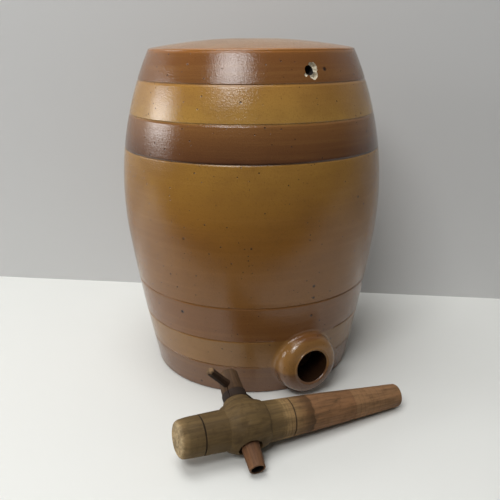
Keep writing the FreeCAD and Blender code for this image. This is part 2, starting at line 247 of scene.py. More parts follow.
TAP_PLACE = (
    Matrix.Translation(TAP_REST)
    @ Matrix.Rotation(TAP_YAW, 4, "Z")
    @ Matrix.Rotation(TAP_DROP, 4, "Y")
    @ Matrix.Rotation(TAP_ROLL, 4, "X")
)
KEY_PLACE = TAP_PLACE @ key_turn()


# Shader building.


class Finish:
    """Places nodes in a material or a group, with short calls."""

    def __init__(self, tree):
        self.tree = tree

    def node(self, kind, **inputs):
        made = self.tree.nodes.new(kind)
        for name, value in inputs.items():
            self.feed(made.inputs[name.replace("_", " ")], value)
        return made

    def feed(self, socket, value):
        if isinstance(value, bpy.types.NodeSocket):
            self.tree.links.new(value, socket)
        else:
            socket.default_value = value

    def maths(self, operation, first, second=0.0):
        made = self.tree.nodes.new("ShaderNodeMath")
        made.operation = operation
        self.feed(made.inputs[0], first)
        self.feed(made.inputs[1], second)
        return made.outputs[0]

    def between(self, value, low, high, new_low=0.0, new_high=1.0):
        made = self.tree.nodes.new("ShaderNodeMapRange")
        made.interpolation_type = "SMOOTHSTEP"
        for socket, given in zip(made.inputs, (value, low, high, new_low, new_high)):
            self.feed(socket, given)
        return made.outputs[0]

    def noise(self, place, scale, detail=3.0, rough=0.55):
        made = self.node("ShaderNodeTexNoise", Vector=place, Scale=scale, Detail=detail, Roughness=rough)
        return made.outputs["Fac"]

    def stretched(self, place, scale):
        made = self.tree.nodes.new("ShaderNodeVectorMath")
        made.operation = "MULTIPLY"
        self.feed(made.inputs[0], place)
        self.feed(made.inputs[1], scale)
        return made.outputs[0]

    def mix(self, share, first, second):
        made = self.tree.nodes.new("ShaderNodeMix")
        made.data_type = "RGBA"
        self.feed(made.inputs[0], share)
        self.feed(made.inputs[6], first)
        self.feed(made.inputs[7], second)
        return made.outputs[2]

    def ramp(self, value, stops):
        made = self.tree.nodes.new("ShaderNodeValToRGB")
        self.feed(made.inputs[0], value)
        points = made.color_ramp.elements
        while len(points) < len(stops):
            points.new(0.5)
        for point, (at, colour) in zip(points, stops):
            point.position = at
            point.color = colour
        return made.outputs[0]


def new_finish(name):
    """A material with a Principled shader, and the builder for its nodes."""
    material = bpy.data.materials.new(name)
    material.use_nodes = True
    build = Finish(material.node_tree)
    return material, build, material.node_tree.nodes["Principled BSDF"]


def group(name, inputs, outputs):
    """A node group with named inputs and outputs, and the builder for its nodes."""
    tree = bpy.data.node_groups.new(name, "ShaderNodeTree")
    for label, kind in inputs:
        tree.interface.new_socket(name=label, in_out="INPUT", socket_type=kind)
    for label, kind in outputs:
        tree.interface.new_socket(name=label, in_out="OUTPUT", socket_type=kind)
    build = Finish(tree)
    return tree, build, tree.nodes.new("NodeGroupInput"), tree.nodes.new("NodeGroupOutput")


def specks_group():
    """Iron specks: a mask of small round spots, of which only some cells have one."""
    tree, build, given, out = group(
        "iron_specks",
        [("Vector", "NodeSocketVector"), ("Scale", "NodeSocketFloat"), ("Share", "NodeSocketFloat"),
         ("Size", "NodeSocketFloat")],
        [("Mask", "NodeSocketFloat")],
    )
    cells = build.node("ShaderNodeTexVoronoi", Vector=given.outputs["Vector"], Scale=given.outputs["Scale"])
    lot = build.node("ShaderNodeSeparateColor", Color=cells.outputs["Color"])
    chosen = build.maths("LESS_THAN", lot.outputs[0], given.outputs["Share"])
    size = build.maths("MULTIPLY", given.outputs["Size"], build.maths("ADD", lot.outputs[1], 0.4))
    spot = build.between(cells.outputs["Distance"], build.maths("MULTIPLY", size, 0.4), size, 1.0, 0.0)
    build.feed(out.inputs["Mask"], build.maths("MULTIPLY", chosen, spot))
    return tree


def grain_group():
    """Long wood fibres and pores along X: a mask for the colour and a height for the bump."""
    tree, build, given, out = group(
        "wood_grain",
        [("Vector", "NodeSocketVector"), ("Fibres", "NodeSocketFloat")],
        [("Tone", "NodeSocketFloat"), ("Pores", "NodeSocketFloat"), ("Height", "NodeSocketFloat")],
    )
    place = given.outputs["Vector"]
    along = build.stretched(place, (0.06, 1.0, 1.0))
    broad = build.noise(along, 110.0, 4.0, 0.6)
    fine = build.noise(along, given.outputs["Fibres"], 3.0, 0.7)
    tone = build.maths("ADD", build.maths("MULTIPLY", broad, 0.6), build.maths("MULTIPLY", fine, 0.4))
    flecks = build.node("ShaderNodeTexVoronoi", Vector=build.stretched(place, (0.22, 1.0, 1.0)), Scale=900.0)
    lot = build.node("ShaderNodeSeparateColor", Color=flecks.outputs["Color"])
    some = build.maths("LESS_THAN", lot.outputs[0], 0.35)
    pores = build.maths("MULTIPLY", some, build.between(flecks.outputs["Distance"], 0.08, 0.3, 1.0, 0.0))
    build.feed(out.inputs["Tone"], tone)
    build.feed(out.inputs["Pores"], pores)
    build.feed(out.inputs["Height"], build.maths("SUBTRACT", fine, build.maths("MULTIPLY", pores, 0.5)))
    return tree


def use_group(build, tree, **inputs):
    made = build.tree.nodes.new("ShaderNodeGroup")
    made.node_tree = tree
    for name, value in inputs.items():
        build.feed(made.inputs[name], value)
    return made


SPECKS = specks_group()
GRAIN = grain_group()


def glaze_stops():
    """The barrel's colours from foot to crown, as stops over its height."""
    edge = 0.0006
    bands = [
        (0.0, (112, 82, 62)), (LOW_LINE_Z - edge, (114, 82, 58)), (LOW_LINE_Z + edge, (142, 104, 60)),
        (BOSS_LINE_Z - edge, (140, 102, 56)), (BOSS_LINE_Z + edge, (122, 80, 44)),
        (BELLY_LINE_Z - edge, (126, 84, 46)), (BELLY_LINE_Z + edge, (136, 92, 44)),
        # At BAND_FOOT_Z a near-black line: partly dark glaze pooled there, partly painted shade under the
        # band's downward-facing step.
        (0.175, (138, 92, 34)), (BAND_FOOT_Z - edge, (158, 116, 50)), (BAND_FOOT_Z, (40, 24, 17)),
        (BAND_FOOT_Z + 4 * edge, (86, 52, 31)), (BAND_TOP_Z - edge, (128, 86, 46)),
        (BAND_TOP_Z + edge, (170, 130, 62)), (SHOULDER_BAND_Z - edge, (164, 120, 56)),
        (SHOULDER_BAND_Z + edge, (116, 76, 40)), (0.3415, (122, 78, 41)),
        (LIP_LINE_Z, (152, 98, 46)), (0.350, (154, 112, 60)),
    ]
    return [(height / CROWN_Z, paint(*colour)) for height, colour in bands]


def off_axis(build, place, x, z):
    """Distance of a place from a level axis that faces -Y."""
    level = build.stretched(place, (1.0, 0.0, 1.0))
    made = build.tree.nodes.new("ShaderNodeVectorMath")
    made.operation = "DISTANCE"
    build.feed(made.inputs[0], level)
    build.feed(made.inputs[1], (x, 0.0, z))
    return made.outputs["Value"]


def salt_glaze():
    """Orange-peel salt glaze over banded stoneware, with iron specks, throwing streaks and painted shade down
    the tap hole.
    """
    material, build, shader = new_finish("salt_glaze")
    place = build.node("ShaderNodeTexCoord").outputs["Object"]
    height = build.node("ShaderNodeSeparateXYZ", Vector=place).outputs["Z"]
    waver = build.maths("MULTIPLY", build.maths("SUBTRACT", build.noise(place, 45.0), 0.5), 0.0016)
    level = build.maths("DIVIDE", build.maths("ADD", height, waver), CROWN_Z)
    colour = build.ramp(level, glaze_stops())
    cloud = build.noise(build.stretched(place, (1.0, 1.0, 1.6)), 14.0, 5.0, 0.6)
    colour = build.mix(build.between(cloud, 0.35, 0.7, 0.0, 0.35), colour, paint(110, 70, 34))
    streak = build.noise(build.stretched(place, (6.0, 6.0, 220.0)), 1.0, 4.0, 0.6)
    colour = build.mix(build.between(streak, 0.45, 0.75, 0.0, 0.12), colour, paint(176, 130, 72))
    peel = build.noise(place, 640.0, 3.0, 0.6)
    colour = build.mix(build.between(peel, 0.5, 0.75, 0.0, 0.3), colour, paint(92, 58, 28))
    fine = use_group(build, SPECKS, Vector=place, Scale=230.0, Share=0.32, Size=0.18)
    coarse = use_group(build, SPECKS, Vector=place, Scale=62.0, Share=0.20, Size=0.12)
    specks = build.maths("MAXIMUM", fine.outputs["Mask"], coarse.outputs["Mask"])
    colour = build.mix(build.maths("MULTIPLY", specks, 0.9), colour, paint(30, 18, 12))
    # Painted shade down the tap hole: its bore turns near-black, with some thin, dirty glaze there as well.
    bore = build.between(off_axis(build, place, 0.0, BOSS_Z), TAP_HOLE_R, TAP_HOLE_R + 0.0006, 0.92, 0.0)
    front = build.maths("LESS_THAN", build.node("ShaderNodeSeparateXYZ", Vector=place).outputs["Y"], 0.0)
    colour = build.mix(build.maths("MULTIPLY", bore, front), colour, paint(30, 17, 10))
    build.feed(shader.inputs["Base Color"], colour)
    build.feed(shader.inputs["Roughness"], build.between(cloud, 0.3, 0.75, 0.13, 0.22))
    lumps = build.maths("SUBTRACT", build.maths("ADD", peel, build.maths("MULTIPLY", streak, 0.5)), specks)
    bump = build.node("ShaderNodeBump", Strength=0.5, Distance=0.0004, Height=lumps)
    build.feed(shader.inputs["Normal"], bump.outputs["Normal"])
    return material


def bare_clay():
    """Unglazed buff clay where the glaze has flaked, with dark grog in it, and painted shade down the air
    hole.
    """
    material, build, shader = new_finish("bare_clay")
    place = build.node("ShaderNodeTexCoord").outputs["Object"]
    mottle = build.noise(place, 380.0, 4.0, 0.65)
    colour = build.mix(build.between(mottle, 0.35, 0.65), paint(216, 207, 184), paint(152, 137, 112))
    grog = use_group(build, SPECKS, Vector=place, Scale=700.0, Share=0.25, Size=0.28)
    colour = build.mix(build.maths("MULTIPLY", grog.outputs["Mask"], 0.8), colour, paint(52, 40, 30))
    # Painted shade down the air hole: inside its radius the clay turns near-black.
    bore = build.between(off_axis(build, place, VENT_X, VENT_Z), VENT_R, VENT_R * 1.12, 1.0, 0.0)
    colour = build.mix(bore, colour, paint(20, 13, 9))
    build.feed(shader.inputs["Base Color"], colour)
    shader.inputs["Roughness"].default_value = 0.85
    bump = build.node("ShaderNodeBump", Strength=0.6, Distance=0.0004, Height=mottle)
    build.feed(shader.inputs["Normal"], bump.outputs["Normal"])
    return material


def local_place(build, matrix):
    """Object coordinates turned into a piece's own axes."""
    back = matrix.inverted()
    coordinate = build.node("ShaderNodeTexCoord").outputs["Object"]
    mapping = build.node("ShaderNodeMapping", Vector=coordinate)
    mapping.inputs["Location"].default_value = back.to_translation()
    mapping.inputs["Rotation"].default_value = back.to_euler("XYZ")
    return mapping.outputs["Vector"]


def grooves(build, place, lines):
    """Mask of dirt gathered in turned lines, with painted shade in them: deeper lines darken more."""
    mask = 0.0
    for line, depth, width in lines:
        off = build.maths("ABSOLUTE", build.maths("SUBTRACT", place, line))
        groove_dirt_and_shade = build.between(off, width * 0.2, width, min(0.9, depth / 0.0011), 0.0)
        mask = build.maths("MAXIMUM", mask, groove_dirt_and_shade)
    return mask


def wood(name, matrix, stops, along, low, high, dark, lines, bore):
    """Turned wood: colours along one axis, fibres, pores, grime, lines darkened by dirt and painted shade,
    and painted shade down the bore.

    The bore is its radius and where it starts and ends along that axis; inside it the wood is painted
    near-black as shade.
    """
    material, build, shader = new_finish(name)
    place = local_place(build, matrix)
    axes = build.node("ShaderNodeSeparateXYZ", Vector=place).outputs
    waver = build.maths("MULTIPLY", build.maths("SUBTRACT", build.noise(place, 160.0), 0.5), 0.006)
    share = build.between(build.maths("ADD", axes[along], waver), low, high)
    share.node.interpolation_type = "LINEAR"
    colour = build.ramp(share, stops)
    turned = place
    if along == "Z":
        turned = build.node("ShaderNodeCombineXYZ", X=axes["Z"], Y=axes["X"], Z=axes["Y"]).outputs[0]
    grain = use_group(build, GRAIN, Vector=turned, Fibres=420.0)
    colour = build.mix(build.between(grain.outputs["Tone"], 0.38, 0.62, 0.0, 0.55), colour, dark)
    colour = build.mix(build.maths("MULTIPLY", grain.outputs["Pores"], 0.6), colour, dark)
    grime = build.noise(place, 90.0, 5.0, 0.65)
    colour = build.mix(build.between(grime, 0.5, 0.8, 0.0, 0.5), colour, paint(52, 40, 28))
    # Turned lines darkened: dirt gathered there, and painted shade in their hollows.
    colour = build.mix(grooves(build, axes[along], lines), colour, paint(26, 18, 12))
    # Painted shade down the bore: inside its radius, between its start and end, the wood turns near-black.
    radius, bore_start, bore_end = bore
    first, second = [axes[letter] for letter in "XYZ" if letter != along]
    squares = [build.maths("POWER", build.maths("ABSOLUTE", side), 2.0) for side in (first, second)]
    around = build.maths("SQRT", build.maths("ADD", *squares))
    inside = build.between(around, radius, radius + 0.0003, 0.94, 0.0)
    inside = build.maths("MULTIPLY", inside, build.maths("GREATER_THAN", axes[along], bore_start))
    inside = build.maths("MULTIPLY", inside, build.maths("LESS_THAN", axes[along], bore_end))
    colour = build.mix(inside, colour, paint(22, 14, 9))
    build.feed(shader.inputs["Base Color"], colour)
    build.feed(shader.inputs["Roughness"], build.between(grime, 0.3, 0.7, 0.62, 0.85))
    shader.inputs["Specular IOR Level"].default_value = 0.25
    bump = build.node("ShaderNodeBump", Strength=0.5, Distance=0.0004, Height=grain.outputs["Height"])
    build.feed(shader.inputs["Normal"], bump.outputs["Normal"])
    return material


def dress(piece, material):
    """Give every slot of a piece the same material."""
    piece.data.materials.clear()
    piece.data.materials.append(material)


TAP_STOPS = [
    (0.0, paint(184, 160, 120)), (0.012, paint(134, 110, 74)), (0.03, paint(108, 88, 56)),
    (0.09, paint(98, 78, 47)), (0.36, paint(100, 80, 48)), (0.405, paint(112, 90, 56)),
    (0.43, paint(150, 122, 80)), (0.465, paint(140, 110, 72)), (0.50, paint(128, 96, 62)),
    (0.53, paint(92, 64, 38)), (0.548, paint(86, 60, 36)), (0.552, paint(134, 96, 64)),
    (0.75, paint(132, 94, 62)), (0.76, paint(142, 106, 72)), (1.0, paint(138, 102, 70)),
]
KEY_STOPS = [
    (0.0, paint(122, 86, 58)), (0.30, paint(110, 74, 48)), (0.66, paint(92, 70, 46)),
    (0.69, paint(40, 30, 24)), (0.76, paint(44, 34, 26)), (0.78, paint(82, 60, 38)),
    (0.9, paint(92, 68, 44)), (1.0, paint(104, 80, 54)),
]
PEG_STOPS = [
    (0.0, paint(134, 106, 74)), (0.02, paint(66, 46, 30)), (0.98, paint(66, 46, 30)),
    (1.0, paint(134, 106, 74)),
]


# Turning, cutting and finishing of pieces.


def in_edit_mode(piece):
    """Open one piece for editing with nothing selected."""
    bpy.ops.object.select_all(action="DESELECT")
    piece.select_set(True)
    bpy.context.view_layer.objects.active = piece
    bpy.ops.object.mode_set(mode="EDIT")
    bpy.ops.mesh.select_all(action="DESELECT")


def turned(name, outline, columns):
    """Turn an outline of (radius, height) points about Z: one ring drawn out, closed at both ends."""
    bpy.ops.object.select_all(action="DESELECT")
    radius, height = outline[0]
    bpy.ops.mesh.primitive_circle_add(vertices=columns, radius=radius, fill_type="NOTHING")
    piece = bpy.context.object
    piece.name = name
    bpy.ops.object.mode_set(mode="EDIT")
    bpy.ops.mesh.select_all(action="SELECT")
    bpy.ops.transform.translate(value=(0, 0, height))
    bpy.ops.mesh.edge_face_add()
    for next_radius, next_height in outline[1:]:
        bpy.ops.mesh.extrude_edges_move(TRANSFORM_OT_translate={"value": (0, 0, next_height - height)})
        grow = next_radius / radius
        bpy.ops.transform.resize(value=(grow, grow, 1), center_override=(0, 0, next_height))
        radius, height = next_radius, next_height
    bpy.ops.mesh.edge_face_add()
    bpy.ops.mesh.select_all(action="SELECT")
    bpy.ops.mesh.normals_make_consistent(inside=False)
    bpy.ops.object.mode_set(mode="OBJECT")
    return piece


def through(first, middle, last, count):
    """Points on the round curve that passes through three points, ends included."""
    control = [2 * m - (a + b) / 2 for a, m, b in zip(first, middle, last)]
    found = []
    for step in range(count + 1):
        t = step / count
        found.append(tuple((1 - t) ** 2 * a + 2 * t * (1 - t) * c + t ** 2 * b
                           for a, c, b in zip(first, control, last)))
    return found


def cut_away(piece, cutter, operation="DIFFERENCE"):
    """Cut one mesh from another, or join it on, and drop the cutter."""
    bpy.ops.object.select_all(action="DESELECT")
    piece.select_set(True)
    bpy.context.view_layer.objects.active = piece
    change = piece.modifiers.new("cut", "BOOLEAN")
    change.operation = operation
    change.object = cutter
    change.solver = "EXACT"
    change.material_mode = "TRANSFER"
    bpy.ops.object.modifier_apply(modifier=change.name)
    bpy.data.objects.remove(cutter)


def smoothed(piece, degrees):
    """Smooth shading, with an edge kept wherever faces meet at more than an angle."""
    bpy.ops.object.select_all(action="DESELECT")
    piece.select_set(True)
    bpy.context.view_layer.objects.active = piece
    bpy.ops.object.shade_smooth_by_angle(angle=math.radians(degrees))


def ease(value, low, high):
    """0 below low, 1 above high, and a smooth rise between."""
    share = min(max((value - low) / (high - low), 0.0), 1.0)
    return share * share * (3 - 2 * share)


# The barrel.


def wall_radius(height, inset=0.0):
    """Radius of the barrel wall at a height: two arcs that meet low on the belly."""
    if height > ARC_JOIN_Z:
        return WIDEST_R - UPPER_ARC_R + math.sqrt((UPPER_ARC_R - inset) ** 2 - (height - WIDEST_Z) ** 2)
    return LOWER_CENTRE_R + math.sqrt((LOWER_ARC_R - inset) ** 2 - (height - LOWER_CENTRE_Z) ** 2)


def outer_radius(height):
    """Radius of the wall with its rounded foot."""
    if height >= FOOT_EASE:
        return wall_radius(height)
    drop = FOOT_EASE - max(height, 0.0)
    return wall_radius(FOOT_EASE) - FOOT_EASE + math.sqrt(FOOT_EASE ** 2 - drop ** 2)


def inner_radius(height):
    """Radius of the hollow, narrowed where it meets the floor."""
    if height >= INNER_FOOT_Z:
        return wall_radius(height, WALL)
    return wall_radius(INNER_FOOT_Z, WALL) - (INNER_FOOT_Z - height)


def wall_heights():
    """Heights of the rings up the wall, closer together at each scored line."""
    steps = [FOOT_EASE + index * WALL_STEP for index in range(1, 140)]
    steps = [z for z in steps if z < LIP_Z - WALL_STEP / 2]
    steps = [z for z in steps if all(abs(z - line) > LINE_CLEAR for line, _, _ in SCORED_LINES)]
    for line, _, _ in SCORED_LINES:
        steps += [line + offset * MM for offset in LINE_RINGS]
    return [z for z in sorted(steps) if z < LIP_Z - 0.0001] + [LIP_Z]


def barrel_outline():
    """Outline from under the foot, up the wall, over the crown, through the bung hole and back inside."""
    foot_r = wall_radius(FOOT_EASE) - FOOT_EASE
    points = [(0.003, 0.0), (0.05, 0.0), (0.09, 0.0), (foot_r, 0.0)]
    for step in range(1, 5):
        turn = math.radians(90 * step / 4)
        points.append((foot_r + FOOT_EASE * math.sin(turn), FOOT_EASE * (1 - math.cos(turn))))
    points += [(wall_radius(z), z) for z in wall_heights()]
    points += through((wall_radius(LIP_Z), LIP_Z), SHOULDER, (DOME_R, DOME_Z), 6)[1:]
    ball = (DOME_R ** 2 + (CROWN_Z - DOME_Z) ** 2) / (2 * (CROWN_Z - DOME_Z))
    radii = [DOME_R - 0.0012] + [DOME_R - 0.003 * step for step in range(1, 25)] + [BUNG_R + BUNG_ROUND]
    points += [(r, CROWN_Z - ball + math.sqrt(ball ** 2 - r ** 2)) for r in radii]
    rim_z = points[-1][1]
    for step in range(1, 6):
        turn = math.radians(90 * step / 5)
        points.append((BUNG_R + BUNG_ROUND * (1 - math.sin(turn)), rim_z - BUNG_ROUND * (1 - math.cos(turn))))
    points += [(BUNG_R, 0.3480), (BUNG_R, 0.34455), (BUNG_R + 0.001, 0.3444)]
    points += UNDER_CROWN
    down = [INNER_TOP_Z - index * 0.0062 for index in range(51)]
    points += [(inner_radius(z), z) for z in down if z > INNER_FOOT_Z + 0.002]
    points += [(inner_radius(INNER_FOOT_Z), INNER_FOOT_Z), (inner_radius(0.0165), 0.0165)]
    points += [(inner_radius(FLOOR_Z), FLOOR_Z), (0.06, FLOOR_Z), (0.003, FLOOR_Z)]
    return points


def reach(x, height, radius_at):
    """How far forward a wall stands at a place across it."""
    return math.sqrt(max(radius_at(height) ** 2 - x ** 2, 0.0))


def boss_side():
    """Close run of (radius, reach) points from the root of the boss, round its cheek, to the lip."""
    side = [(BOSS_R, BOSS_ROOT + (BOSS_CHEEK - BOSS_ROOT) * step / 60) for step in range(60)]
    return side + through((BOSS_R, BOSS_CHEEK), BOSS_SHOULDER, (BOSS_LIP_R, BOSS_LIP_REACH), 90)


def boss_meeting(angle, side):
    """Where the boss leaves the wall on one side, and how far its blend may run there."""
    across, up = math.cos(angle), math.sin(angle)
    for index, (radius, front) in enumerate(side):
        if front > reach(radius * across, BOSS_Z + radius * up, outer_radius):
            break
    room = BOSS_PATCH_R
    if up < 0:
        room = min(room, (BOSS_Z - LEAST_Z) / -up)
    return index, room


def boss_rings():
    """Functions that give the place of each ring of the boss at an angle, from the wall inwards."""
    side = boss_side()
    lengths = [0.0]
    for (r0, f0), (r1, f1) in zip(side, side[1:]):
        lengths.append(lengths[-1] + math.hypot(r1 - r0, f1 - f0))

    def at_length(length):
        for index in range(1, len(side)):
            if lengths[index] >= length:
                break
        share = (length - lengths[index - 1]) / (lengths[index] - lengths[index - 1])
        share = min(max(share, 0.0), 1.0)
        return tuple(a + (b - a) * share for a, b in zip(side[index - 1], side[index]))

    def point(angle, radius, front):
        return Vector((radius * math.cos(angle), -front, BOSS_Z + radius * math.sin(angle)))

    def on_wall(angle, radius, radius_at=outer_radius):
        up = BOSS_Z + radius * math.sin(angle)
        return point(angle, radius, reach(radius * math.cos(angle), up, radius_at))

    def wall_ring(share):
        def place(angle):
            index, room = boss_meeting(angle, side)
            start = min(side[index][0] + BOSS_BLEND, room - 0.0004)
            return on_wall(angle, start + (room - start) * share)
        return place

    def blend_ring(t):
        def place(angle):
            index, room = boss_meeting(angle, side)
            corner = side[index]
            start = min(corner[0] + BOSS_BLEND, room - 0.0004)
            outer = on_wall(angle, start)
            inner = at_length(lengths[index] + BOSS_BLEND)
            middle = point(angle, *corner)
            inner = point(angle, *inner)
            return outer * (1 - t) ** 2 + middle * 2 * t * (1 - t) + inner * t ** 2
        return place

    def cheek_ring(share):
        def place(angle):
            start = lengths[boss_meeting(angle, side)[0]] + BOSS_BLEND
            return point(angle, *at_length(start + (lengths[-1] - start) * share))
        return place

    rings = [wall_ring(share) for share in (1.0, 0.78, 0.6, 0.45, 0.3, 0.15, 0.0)]
    rings += [blend_ring(step / 6) for step in range(1, 7)]
    rings += [cheek_ring(step / 18) for step in range(1, 19)]
    for radius, front in BOSS_MOUTH:
        rings.append(lambda angle, radius=radius, front=front: point(angle, radius, front))
    rings.append(lambda angle: on_wall(angle, TAP_HOLE_R, inner_radius))
    return rings


def set_ring(piece, place):
    """Move the selected ring to its place at each angle round the boss."""
    mesh = bmesh.from_edit_mesh(piece.data)
    for vertex in mesh.verts:
        if vertex.select:
            angle = math.atan2(vertex.co.z - BOSS_Z, vertex.co.x)
            vertex.co = place(angle)
    bmesh.update_edit_mesh(piece.data)


def open_wall(piece):
    """Take the faces out of the wall, outside and inside, where the boss goes."""
    in_edit_mode(piece)
    bpy.ops.mesh.select_mode(type="FACE")
    mesh = bmesh.from_edit_mesh(piece.data)
    for face in mesh.faces:
        centre = face.calc_center_median()
        from_axis = math.hypot(centre.x, centre.z - BOSS_Z)
        outside = math.hypot(centre.x, centre.y) > wall_radius(centre.z) - WALL / 2
        limit = BOSS_PATCH_R + OUTER_ROOM if outside else TAP_HOLE_R + INNER_ROOM
        at_boss = centre.y < FRONT_Y and from_axis < limit and centre.z > UNDERSIDE_Z
        if at_boss and len(face.verts) == 4:
            face.select = outside or centre.z >= FLOOR_KEEP_Z
    bmesh.update_edit_mesh(piece.data)
    bpy.ops.mesh.delete(type="FACE")
    bpy.ops.mesh.select_mode(type="EDGE")


def bridge(piece, chosen):
    """Join two open rims, picked by the place of their edges."""
    bpy.ops.mesh.select_all(action="DESELECT")
    mesh = bmesh.from_edit_mesh(piece.data)
    for edge in mesh.edges:
        middle = (edge.verts[0].co + edge.verts[1].co) / 2
        if edge.is_boundary and chosen(middle):
            edge.select = True
    mesh.select_flush_mode()
    bmesh.update_edit_mesh(piece.data)
    bpy.ops.mesh.bridge_edge_loops()


def add_boss(piece):
    """Draw the boss out of the wall ring by ring, blended at its root and bored through."""
    open_wall(piece)
    rings = boss_rings()
    bpy.ops.mesh.primitive_circle_add(
        vertices=BOSS_COLUMNS, radius=BOSS_PATCH_R, location=(0, -0.12, BOSS_Z),
        rotation=(math.radians(90), 0, 0), fill_type="NOTHING",
    )
    set_ring(piece, rings[0])
    for place in rings[1:]:
        bpy.ops.mesh.extrude_edges_move()
        set_ring(piece, place)

    def outside(middle):
        return math.hypot(middle.x, middle.y) > outer_radius(middle.z) - WALL / 2

    bridge(piece, outside)
    bridge(piece, lambda middle: not outside(middle))
    bpy.ops.mesh.select_all(action="SELECT")
    bpy.ops.mesh.normals_make_consistent(inside=False)
    bpy.ops.object.mode_set(mode="OBJECT")


def scored(height, off_boss):
    """Depth of the potter's lines at a place on the wall; the low ones fade out at the boss."""
    depth = 0.0
    for line, below, above in SCORED_LINES:
        width = above if height > line else below
        share = 1 - abs(height - line) / width
        if share > 0:
            fade = 1.0
            if line < LOW_LINES_UNDER:
                fade = ease(off_boss, BOSS_PATCH_R + 0.001, BOSS_PATCH_R + 0.006)
            cut = LINE_DEPTH * (LIP_LINE_SHARE if line == LIP_LINE_Z else 1.0)
            depth = max(depth, cut * share * fade)
    return depth


def work_surface(piece):
    """Score the lines, and leave the unevenness of thrown clay."""
    for vertex in piece.data.vertices:
        x, y, z = vertex.co
        around = math.hypot(x, y)
        if around < 0.09 or z < FOOT_EASE or z > DOME_Z:
            continue
        if abs(around - outer_radius(z)) > ON_WALL and z < LIP_Z:
            continue
        across, along = x / around, y / around
        slow = noise.noise(Vector((across * 1.3, along * 1.3, z * 14)))
        rings = noise.noise(Vector((across * 0.7, along * 0.7, z * 170)))
        dents = noise.noise(Vector((across * 9, along * 9, z * 60)))
        uneven = 0.00022 + 0.00012 * slow + 0.00007 * rings + 0.00005 * dents
        off_boss = math.hypot(x, z - BOSS_Z) if y < 0 else 1.0
        sunk = uneven * ease(off_boss, 0.036, 0.044) + scored(z, off_boss)
        factor = (around - sunk) / around
        vertex.co.x *= factor
        vertex.co.y *= factor


def chip_stone(place, size, seed):
    """Rough lump that takes one flake out of the glaze."""
    bpy.ops.object.select_all(action="DESELECT")
    bpy.ops.mesh.primitive_ico_sphere_add(subdivisions=4, radius=size, location=place)
    lump = bpy.context.object
    bpy.ops.object.transform_apply(location=True)
    for vertex in lump.data.vertices:
        away = vertex.co - Vector(place)
        vertex.co += away * 0.22 * noise.noise(vertex.co * 260 + Vector((seed, 0, 0)))
        vertex.co += away * 0.07 * noise.noise(vertex.co * 900 + Vector((0, seed, 0)))
    return lump


def vent(piece, clay):
    """Bore the air hole and knock the flakes out beside it, all in bare clay."""
    bpy.ops.object.select_all(action="DESELECT")
    bpy.ops.mesh.primitive_cylinder_add(
        vertices=48, radius=VENT_R, depth=0.04, location=(VENT_X, -0.112, VENT_Z),
        rotation=(math.radians(90), 0, 0),
    )
    drill = bpy.context.object
    bpy.ops.object.transform_apply(location=True, rotation=True)
    for vertex in drill.data.vertices:
        wobble = 0.06 * noise.noise(vertex.co * 220)
        vertex.co.x += (vertex.co.x - VENT_X) * wobble
        vertex.co.z += (vertex.co.z - VENT_Z) * wobble
    stones = [drill]
    for across, up, size, bite in VENT_CHIPS:
        front = reach(VENT_X + across, VENT_Z + up, wall_radius)
        stones.append(chip_stone((VENT_X + across, -front - size + bite, VENT_Z + up), size, across * 9000))
    for stone in stones:
        dress(stone, clay)
        cut_away(piece, stone)


def stoneware_barrel(glaze_finish, clay):
    """The barrel: turned, bossed, scored, and bored."""
    piece = turned("barrel_of_stoneware", barrel_outline(), COLUMNS)
    add_boss(piece)
    work_surface(piece)
    dress(piece, glaze_finish)
    vent(piece, clay)
    smoothed(piece, 40)
    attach(piece, "barrel")
    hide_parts("stoneware_barrel")


# The tap.


def set_down(piece, matrix, body, node):
    """Put a piece made about its own axis in its place, on its body, and hide the model part that it stands
    in for.
    """
    piece.data.transform(matrix)
    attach(piece, body)
    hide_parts(node)


def run(start, end, pitch):
    """Evenly spaced points on a straight stretch, without its first."""
    count = max(1, round(math.dist(start, end) / pitch))
    return [tuple(a + (b - a) * step / count for a, b in zip(start, end)) for step in range(1, count + 1)]


def tap_stretch(start, end):
    """Rings along a straight stretch of the tap, closer together at each turned line."""
    places = [along for _, along in run(start, end, TAP_STEP)]
    for line, _, width in TAP_LINES:
        if start[1] < line < end[1]:
            places = [along for along in places if abs(along - line) > width * 1.7]
            places += [line + width * share for share in (-1.4, -1.0, -0.5, 0.0, 0.5, 1.0, 1.4)]
    slope = (end[0] - start[0]) / (end[1] - start[1])
    return [(start[0] + slope * (along - start[1]), along) for along in sorted(places)]


